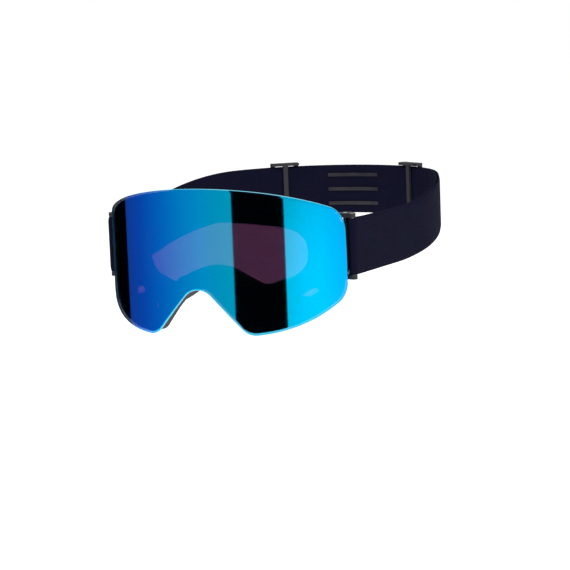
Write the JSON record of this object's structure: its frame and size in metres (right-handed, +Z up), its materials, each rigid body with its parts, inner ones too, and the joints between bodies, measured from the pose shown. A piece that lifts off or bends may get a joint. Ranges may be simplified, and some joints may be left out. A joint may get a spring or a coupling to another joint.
{
  "type": "ski goggles",
  "caption": "Ski goggles with a frameless mirrored cylindrical lens held by magnets, soft vented frame, layered face foam and an elastic helmet strap on hinged outriggers.",
  "frame": {"origin": "centre of the face opening, where the face foam meets the skin, on the middle plane", "axes": "+Y from the lens to the wearer's face, +Z up along the lens's straight rulings, +X to the wearer's left"},
  "size_m": [0.2228, 0.3304, 0.1047],
  "materials": {
    "mirror_lens": "cylindrical polycarbonate with a blue mirror coat",
    "tinted_lens": "clear anti-fog inner lens, rose grey tint",
    "gasket_foam": "closed-cell foam tape, black",
    "carrier_plastic": "black moulded nylon",
    "magnet": "nickel-plated magnet",
    "rim_plastic": "black moulded nylon, fine satin grain",
    "soft_frame": "soft black TPU",
    "vent_foam": "open-cell vent foam, black",
    "dense_foam": "dense foam, black",
    "soft_foam": "soft foam, charcoal",
    "fleece": "brushed fleece, black",
    "steel": "plain steel pin",
    "webbing": "woven elastic webbing, navy black",
    "silicone": "silicone grip line, dark",
    "slider_plastic": "black moulded acetal"
  },
  "bodies": {
    "frame": {"front_rim": "rim_plastic", "frame_magnets": "magnet", "frame_shell": "soft_frame", "nose_flap": "soft_frame", "top_vent_foam": "vent_foam", "bottom_vent_foam_left": "vent_foam", "bottom_vent_foam_right": "vent_foam", "face_foam_base": "dense_foam", "face_foam_mid": "soft_foam", "face_liner": "fleece", "ear_left": "rim_plastic", "ear_right": "rim_plastic", "hinge_pin_left": "steel", "hinge_pin_right": "steel", "strap_side_left": "webbing", "strap_side_right": "webbing", "strap_return_left": "webbing", "strap_return_right": "webbing", "strap_back": "webbing", "grip_strips": "silicone"},
    "lens": {"outer_lens": "mirror_lens", "inner_lens": "tinted_lens", "lens_gasket": "gasket_foam", "lens_carrier": "carrier_plastic", "lens_magnets": "magnet"},
    "outrigger_left": {"outrigger_left": "rim_plastic", "strap_bar_left": "steel", "strap_lead_left": "webbing"},
    "outrigger_right": {"outrigger_right": "rim_plastic", "strap_bar_right": "steel", "strap_lead_right": "webbing"},
    "slider_left": {"slider_left": "slider_plastic"},
    "slider_right": {"slider_right": "slider_plastic"}
  },
  "joints": [
    {"name": "lens_release", "type": "slide", "parent": "frame", "child": "lens", "axis": [0, -1, 0], "range_m": [0, 0.05]},
    {"name": "outrigger_left_swing", "type": "hinge", "parent": "frame", "child": "outrigger_left", "pos_m": [0.08836, 0.02436, 0.004], "axis": [0, 0, -1], "range_deg": [-8, 14], "deforming": ["strap_lead_left"]},
    {"name": "outrigger_right_swing", "type": "hinge", "parent": "frame", "child": "outrigger_right", "pos_m": [-0.08836, 0.02436, 0.004], "axis": [0, 0, 1], "range_deg": [-8, 14], "deforming": ["strap_lead_right"]},
    {"name": "slider_left_slide", "type": "hinge", "parent": "frame", "child": "slider_left", "pos_m": [0, 0.18781, 0.018], "axis": [0, 0, 1], "range_deg": [-8, 8]},
    {"name": "slider_right_slide", "type": "hinge", "parent": "frame", "child": "slider_right", "pos_m": [0, 0.18781, 0.018], "axis": [0, 0, -1], "range_deg": [-8, 8]}
  ]
}
